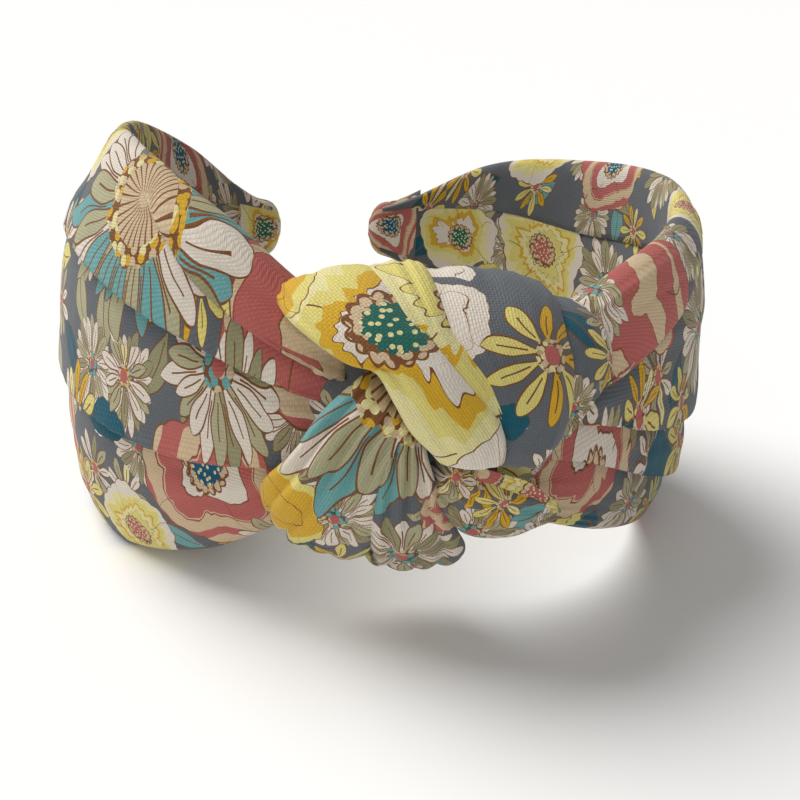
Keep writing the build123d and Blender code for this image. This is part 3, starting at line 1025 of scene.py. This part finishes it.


# Flowers set one by one on each piece: (along, across, radius, turn in degrees, style), millimetres
GREAT, DAISY, STAR, SMALL = range(4)
POPPY, ROSE, PALE_ROSE, BLUSH, MARIGOLD, CLOUD, BERRY = range(7)
PRINTS = {
    "left_sleeve": {
        "daisies": [
            (105, 24, 22, 40, GREAT), (152, -6, 13, 10, DAISY), (120, -32, 12, 0, STAR),
            (118, 40, 9, 0, SMALL), (66, -8, 10, 30, STAR), (72, -36, 13, 0, STAR),
            (24, 5, 15, 20, DAISY), (49, 1, 9, 0, SMALL), (49, 37, 31, 0, GREAT),
            (12, -34, 11, 0, SMALL), (180, 8, 9, 0, SMALL),
        ],
        "ruffles": [
            (92, -24, 20, 0, POPPY), (133, 8, 18, 90, PALE_ROSE), (82, 48, 14, 20, ROSE),
            (147, 36, 16, 0, POPPY), (172, -4, 15, 60, ROSE), (3, 20, 27, 30, BLUSH),
            (27, -18, 19, 100, POPPY), (50, -38, 13, 0, PALE_ROSE), (146, -30, 13, 0, POPPY),
            (56, -12, 9, 0, BERRY),
        ],
    },
    "right_sleeve": {
        "daisies": [
            (92, -6, 24, 0, GREAT), (157, -6, 13, 0, DAISY), (120, -32, 12, 0, STAR), (98, 42, 12, 0, DAISY),
            (31, 4, 9, 40, STAR), (60, -14, 12, 0, STAR), (62, 14, 14, 0, DAISY), (38, -28, 11, 0, DAISY),
            (10, 8, 8, 0, SMALL), (18, 30, 10, 0, DAISY),
        ],
        "ruffles": [
            (132, 6, 19, 0, POPPY), (125, 42, 15, 40, POPPY), (152, 30, 13, 0, PALE_ROSE),
            (78, -36, 15, 0, POPPY), (176, 4, 12, 0, ROSE), (76, 40, 13, 0, PALE_ROSE),
            (34, 28, 19, 80, BLUSH), (15, -10, 17, 10, POPPY), (45, -17, 9, 0, BERRY),
        ],
        "shift": (310.0, 40.0),
    },
    "knot_front_wrap": {
        "ruffles": [(26, 5, 27, 15, ROSE), (5, -6, 11, 0, MARIGOLD), (60, 6, 14, 60, CLOUD),
                    (122, 12, 30, 0, PALE_ROSE)],
        "scatter": 0.0,
        "pale": 1.0,
        "shift": (50.0, 120.0),
    },
    "knot_side_wrap": {
        "daisies": [(50, 5, 6, 0, SMALL), (31, 5, 15, 80, STAR)],
        "ruffles": [(12, -8, 5, 0, CLOUD), (21, -10, 8, 40, CLOUD), (41, -5, 4, 0, BERRY)],
        "scatter": 0.0,
        "shift": (90.0, 180.0),
    },
    "knot_rear_wrap": {
        "daisies": [(14, 2, 8, 0, SMALL), (34, -2, 7, 30, DAISY)],
        "shift": (7.0, 230.0),
    },
    "knot_lower_fan": {
        "daisies": [(-5, 1, 34, 12, GREAT)],
        "ruffles": [(33, -7, 11, 0, MARIGOLD)],
        "shift": (150.0, 90.0),
    },
    "knot_lower_roll": {
        "daisies": [(-4, 0, 25, 0, GREAT), (31, -3, 13, 20, DAISY)],
        "ruffles": [(20, 9, 8, 0, POPPY)],
        "shift": (190.0, 20.0),
    },
    "knot_lower_tuck": {
        "daisies": [(15, -4, 8, 0, STAR), (3, -3, 6, 0, SMALL)],
        "ruffles": [(116, 0, 15, 0, PALE_ROSE), (101, 0, 6, 0, BLUSH)],
        "shift": (30.0, 70.0),
    },
    "knot_throat": {"daisies": [(30, 40, 16, 0, DAISY)], "shift": (0.0, 160.0)},
    "left_tip_wrap": {"ruffles": [(8, 20, 10, 0, ROSE)], "shift": (12.0, 12.0)},
    "right_tip_wrap": {"ruffles": [(8, 19, 9, 0, POPPY)], "shift": (60.0, 33.0)},
    "inner_lining": {
        "daisies": [
            (60, 8, 11, 0, DAISY), (118, -6, 18, 0, GREAT), (180, 4, 13, 0, STAR), (236, -4, 17, 0, GREAT),
            (272, 6, 11, 0, DAISY), (294, 8, 13, 0, DAISY), (22, 2, 9, 0, SMALL),
        ],
        "ruffles": [
            (38, -4, 13, 0, ROSE), (88, 2, 16, 0, POPPY), (150, 4, 15, 0, ROSE), (208, 6, 16, 0, POPPY),
            (254, 12, 12, 0, PALE_ROSE), (307, 2, 8, 0, BERRY), (318, 8, 16, 0, PALE_ROSE),
            (344, 2, 13, 0, ROSE), (333, -10, 8, 0, MARIGOLD),
        ],
        "shift": (0.0, 300.0),
    },
}


def wadding_finish():
    """Fluffy white polyester wadding, with painted shade between its tufts."""
    material, shader = new_material("polyester_wadding")
    place = node_output(material.node_tree, "ShaderNodeTexCoord", {}, "Object")
    tufts, fibres = noise(place, 220.0, 4.0), noise(place, 2400.0, 2.0)
    # Lighter on the tufts and fibres, darker between them, as the bump is: painted shade of their relief.
    feed(shader.inputs["Base Color"], blend(tufts + 0.5 + fibres * 0.3, 0xD9D6CE, 0xF6F4EF))
    emboss(shader, tufts + fibres * 0.4, 0.8, 0.001)
    shader.inputs["Roughness"].default_value = 0.95
    shader.inputs["Sheen Weight"].default_value = 0.3
    return material


def plastic_finish():
    """Moulded off-white plastic, with a fine matt grain."""
    material, shader = new_material("moulded_plastic")
    place = node_output(material.node_tree, "ShaderNodeTexCoord", {}, "Object")
    grain, flow = noise(place, 3000.0, 1.0), noise(place, 60.0, 2.0)
    feed(shader.inputs["Base Color"], blend(flow + 0.5, 0xDCD8CC, 0xEAE7DE))
    feed(shader.inputs["Roughness"], 0.48 + grain * 0.15)
    emboss(shader, grain, 0.2, 0.0002)
    return material


# ---- Assembly ----
wadding_material = wadding_finish()
floral = make_print(make_daisy(make_petal_ring()), make_ruffle(), make_leaves())

pieces, pads = {}, {}
for side, arm in ARMS.items():
    pads[side + "_wadding"] = make_wadding(side + "_wadding_pad", arm)
    pieces[side + "_sleeve"] = make_sleeve(side + "_sleeve_cloth", arm)
    pieces[side + "_tip_wrap"] = make_tip_wrap(side + "_tip_cloth", arm)
for turn_name, straps in TURNS.items():
    pieces[turn_name] = make_turn(turn_name + "_cloth", straps)
pieces["knot_throat"] = make_throat()
pieces["inner_lining"] = make_lining()

for node, piece in pieces.items():
    piece.data.materials.append(printed_cotton(node + "_print", floral, **PRINTS[node]))
    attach(piece, "root")
    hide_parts(node)

for node, pad in pads.items():
    pad.data.materials.append(wadding_material)
    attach(pad, "root")
    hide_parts(node)

for slot in bpy.data.objects["core_band"].material_slots:
    slot.material = plastic_finish()


# ---- Camera, floor and light ----
VIEW_AZIMUTH, VIEW_ELEVATION, VIEW_ROLL = -11.2, 21.2, 4.4  # degrees
VIEW_DISTANCE, FOCAL_LENGTH = 297.8, 52.5  # millimetres
VIEW_TARGET = (5.9, 0.0, 23.0)  # in the band's own layout


def make_camera():
    azimuth, elevation, roll = (math.radians(angle) for angle in (VIEW_AZIMUTH, VIEW_ELEVATION, VIEW_ROLL))
    back = Vector((math.sin(azimuth) * math.cos(elevation), -math.cos(azimuth) * math.cos(elevation),
                   math.sin(elevation)))
    right = (-back).cross(Vector((0, 0, 1))).normalized()
    up = right.cross(-back)
    tilted = right * math.cos(roll) + up * math.sin(roll)
    upright = up * math.cos(roll) - right * math.sin(roll)
    data = bpy.data.cameras.new("camera")
    data.lens, data.sensor_width, data.clip_start = FOCAL_LENGTH, 36, 0.005
    camera = new_object("camera", data)
    placed = Matrix((tilted, upright, back)).transposed().to_4x4()
    placed.translation = (Vector(VIEW_TARGET) + back * VIEW_DISTANCE + Vector(HOME)) * MM
    camera.matrix_world = placed
    bpy.context.scene.camera = camera


def make_floor():
    bpy.ops.mesh.primitive_plane_add(size=40)
    floor = bpy.context.object
    floor.name = "floor"
    material, shader = new_material("pale_floor")
    shader.inputs["Base Color"].default_value = (0.93, 0.925, 0.92, 1)
    shader.inputs["Roughness"].default_value = 0.9
    shader.inputs["Specular IOR Level"].default_value = 0.1
    floor.data.materials.append(material)


def make_sun(name, direction, strength, spread, colour):
    """Broad soft light from one direction."""
    data = bpy.data.lights.new(name, "SUN")
    data.energy, data.angle, data.color = strength, math.radians(spread), colour
    light = new_object(name, data)
    light.location = direction
    light.rotation_euler = Vector(direction).to_track_quat("Z", "Y").to_euler()


def make_sky(strength):
    world = bpy.data.worlds.new("white studio")
    world.use_nodes = True
    background = world.node_tree.nodes["Background"]
    background.inputs["Color"].default_value = (1, 1, 1, 1)
    background.inputs["Strength"].default_value = strength
    bpy.context.scene.world = world


make_camera()
make_floor()
make_sun("window", (-0.55, 0.42, 0.80), 3.15, 45.0, (1.0, 0.99, 0.975))
make_sun("room", (-0.25, -0.80, 0.55), 0.60, 60.0, (1.0, 0.99, 0.975))
make_sky(0.24)
bpy.context.scene.view_settings.view_transform = "Standard"  # shows the cloth's own colours
